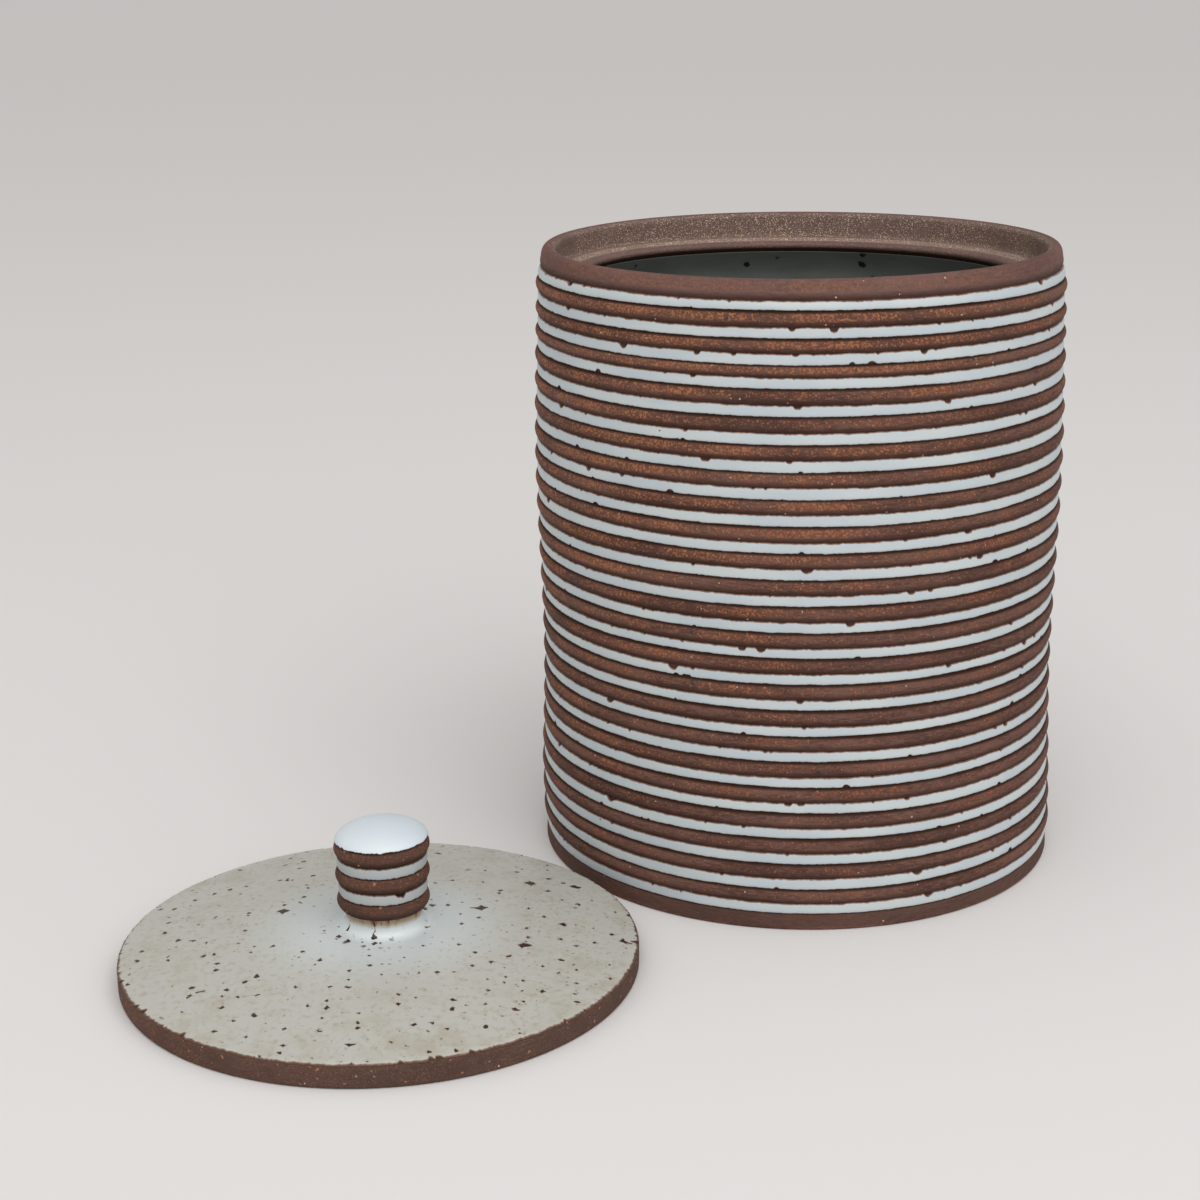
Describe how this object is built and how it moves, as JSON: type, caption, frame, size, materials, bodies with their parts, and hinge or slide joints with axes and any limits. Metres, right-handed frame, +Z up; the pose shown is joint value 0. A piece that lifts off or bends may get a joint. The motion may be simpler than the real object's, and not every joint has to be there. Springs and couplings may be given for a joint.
{
  "type": "lidded jar",
  "caption": "Cylindrical stoneware storage jar with turned ribs, pale glaze in the grooves, a recessed gallery rim, and a separate low-domed lid with a ribbed knob.",
  "frame": {"origin": "centre of the jar's flat base, on the surface that the jar and the lid both lie on", "axes": "+Z up along the jar's axis; the picture looks along +Y with +X to the right, and the lid lies on the -X, -Y side of the jar"},
  "size_m": [0.2203, 0.2006, 0.15],
  "materials": {
    "clay": "bare dark-brown stoneware, matt, with rust flecks and pale grog",
    "band_glaze": "bluish-white satin glaze, brown where it breaks at the edges",
    "liner_glaze": "grey-blue satin glaze with dark iron spots",
    "lid_glaze": "pale grey-green satin glaze with dark-brown iron specks"
  },
  "bodies": {
    "jar": {"jar_body": "clay", "liner_glaze": "liner_glaze", "glaze_band_01": "band_glaze", "glaze_band_02": "band_glaze", "glaze_band_03": "band_glaze", "glaze_band_04": "band_glaze", "glaze_band_05": "band_glaze", "glaze_band_06": "band_glaze", "glaze_band_07": "band_glaze", "glaze_band_08": "band_glaze", "glaze_band_09": "band_glaze", "glaze_band_10": "band_glaze", "glaze_band_11": "band_glaze", "glaze_band_12": "band_glaze", "glaze_band_13": "band_glaze", "glaze_band_14": "band_glaze", "glaze_band_15": "band_glaze", "glaze_band_16": "band_glaze", "glaze_band_17": "band_glaze", "glaze_band_18": "band_glaze", "glaze_band_19": "band_glaze", "glaze_band_20": "band_glaze", "glaze_band_21": "band_glaze", "glaze_band_22": "band_glaze", "glaze_band_23": "band_glaze", "glaze_band_24": "band_glaze"},
    "lid": {"lid_disc": "clay", "lid_knob": "clay", "lid_glaze": "lid_glaze", "knob_cap_glaze": "band_glaze", "knob_band_glaze_1": "band_glaze", "knob_band_glaze_2": "band_glaze"}
  },
  "joints": [
    {"name": "lid_lift", "type": "slide", "parent": "jar", "child": "lid", "axis": [0, 0, 1], "range_m": [0, 0.165]}
  ]
}
